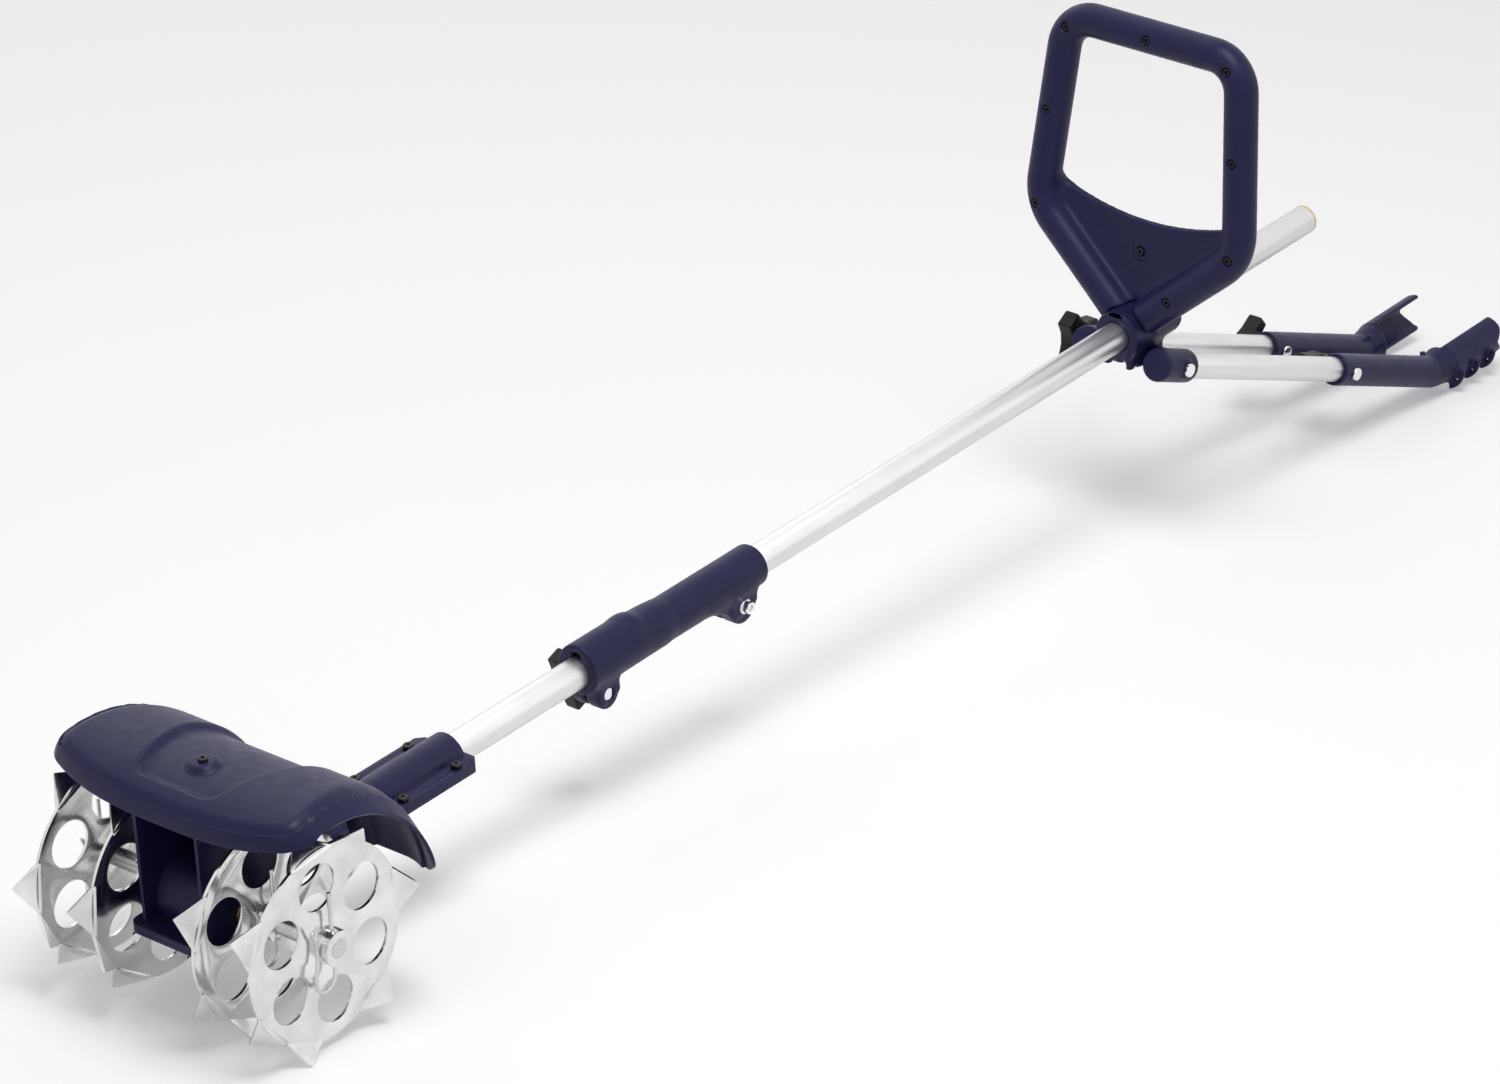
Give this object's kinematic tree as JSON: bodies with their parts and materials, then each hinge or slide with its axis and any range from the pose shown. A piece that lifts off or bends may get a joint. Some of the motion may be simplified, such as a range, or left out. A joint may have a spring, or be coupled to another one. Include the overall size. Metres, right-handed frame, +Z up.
{
  "type": "drill-powered cultivator",
  "caption": "Hand-held soil cultivator driven by a cordless drill through a shaft in its tube, with toothed discs, hood, loop handle and folding drill arms.",
  "frame": {"origin": "on the floor, under the middle of the footprint of the tool as it lies on its tines and saddles", "axes": "+X towards the handle along the floor, +Y along the tine axle to the tool's left, +Z up; the drive tube rises 4.99 degrees towards the handle"},
  "size_m": [1.706, 0.256, 0.4534],
  "materials": {
    "navy_plastic": "dark navy moulded plastic, fine texture",
    "black_plastic": "black moulded plastic",
    "tube_aluminium": "satin silver tube",
    "tine_steel": "bright nickel-plated sheet",
    "spring_wire": "bright zinc-plated spring wire",
    "machined_steel": "machined steel",
    "bush_brass": "plain brass bushing",
    "black_screws": "black oxide screws",
    "zinc_bolts": "zinc-plated bolts"
  },
  "bodies": {
    "frame": {"axle_bush_left": "bush_brass", "axle_bush_right": "bush_brass", "coupler_body": "navy_plastic", "coupler_bolt": "zinc_bolts", "coupler_nut": "zinc_bolts", "coupler_shaft_bush": "bush_brass", "coupler_stud": "zinc_bolts", "coupler_washers": "zinc_bolts", "gearbox_bottom_shell": "navy_plastic", "gearbox_top_shell": "navy_plastic", "hood": "navy_plastic", "hood_screw": "black_screws", "housing_screws": "black_screws", "lower_shaft_bush": "bush_brass", "lower_tube": "tube_aluminium", "pinion_bush": "bush_brass", "top_bush": "bush_brass", "upper_shaft_bush": "bush_brass", "upper_tube": "tube_aluminium"},
    "axle": {"crown_gear": "machined_steel", "hairpin_inner_left": "spring_wire", "hairpin_inner_right": "spring_wire", "hairpin_outer_left": "spring_wire", "hairpin_outer_right": "spring_wire", "tine_axle": "machined_steel", "tine_inner_left": "tine_steel", "tine_inner_right": "tine_steel", "tine_outer_left": "tine_steel", "tine_outer_right": "tine_steel"},
    "drive": {"bevel_pinion": "machined_steel", "lower_drive_shaft": "machined_steel", "shaft_joiner": "machined_steel", "upper_drive_shaft": "machined_steel", "drive_socket": "machined_steel"},
    "handle": {"handle_back_shell": "navy_plastic", "handle_front_shell": "navy_plastic", "handle_screws": "black_screws", "pivot_bolt": "zinc_bolts"},
    "pivot_knob": {"pivot_knob": "black_plastic"},
    "coupler_knob": {"coupler_knob": "black_plastic"},
    "arm_left": {"arm_socket_left": "navy_plastic", "arm_tube_left": "tube_aluminium"},
    "saddle_left": {"saddle_left": "navy_plastic", "saddle_bolt_left": "zinc_bolts"},
    "saddle_knob_left": {"saddle_knob_left": "black_plastic"},
    "arm_right": {"arm_socket_right": "navy_plastic", "arm_tube_right": "tube_aluminium"},
    "saddle_right": {"saddle_right": "navy_plastic", "saddle_bolt_right": "zinc_bolts"},
    "saddle_knob_right": {"saddle_knob_right": "black_plastic"}
  },
  "joints": [
    {"name": "axle_spin", "type": "hinge", "parent": "frame", "child": "axle", "pos_m": [-0.76136, 0, 0.08665], "axis": [0, 1, 0], "continuous": true},
    {"name": "drive_spin", "type": "hinge", "parent": "frame", "child": "drive", "pos_m": [-0.76136, 0, 0.08665], "axis": [0.9962, 0, 0.087], "continuous": true},
    {"name": "handle_slide", "type": "slide", "parent": "frame", "child": "handle", "axis": [0.9962, 0, 0.087], "range_m": [-0.25, 0.1]},
    {"name": "pivot_knob_turn", "type": "hinge", "parent": "handle", "child": "pivot_knob", "pos_m": [0.3679, 0.0575, 0.15583], "axis": [0, 1, 0], "range_deg": [0, 720]},
    {"name": "coupler_knob_turn", "type": "hinge", "parent": "frame", "child": "coupler_knob", "pos_m": [-0.33589, 0.02, 0.09971], "axis": [0, 1, 0], "range_deg": [0, 720]},
    {"name": "arm_left_tilt", "type": "hinge", "parent": "handle", "child": "arm_left", "pos_m": [0.3679, 0.0375, 0.15583], "axis": [0, -1, 0], "range_deg": [-40, 22]},
    {"name": "saddle_left_slide", "type": "slide", "parent": "arm_left", "child": "saddle_left", "axis": [0.9466, 0, -0.3224], "range_m": [0, 0.05]},
    {"name": "saddle_knob_left_turn", "type": "hinge", "parent": "saddle_left", "child": "saddle_knob_left", "pos_m": [0.62064, 0.0375, 0.06974], "axis": [0, 1, 0], "range_deg": [0, 720]},
    {"name": "arm_right_tilt", "type": "hinge", "parent": "handle", "child": "arm_right", "pos_m": [0.3679, -0.0375, 0.15583], "axis": [0, -1, 0], "range_deg": [-40, 22]},
    {"name": "saddle_right_slide", "type": "slide", "parent": "arm_right", "child": "saddle_right", "axis": [0.9466, 0, -0.3224], "range_m": [0, 0.05]},
    {"name": "saddle_knob_right_turn", "type": "hinge", "parent": "saddle_right", "child": "saddle_knob_right", "pos_m": [0.62064, -0.0375, 0.06974], "axis": [0, 1, 0], "range_deg": [0, 720]}
  ],
  "couplings": [
    {"joint": "drive_spin", "follows": "axle_spin", "ratio": -3.3333}
  ]
}
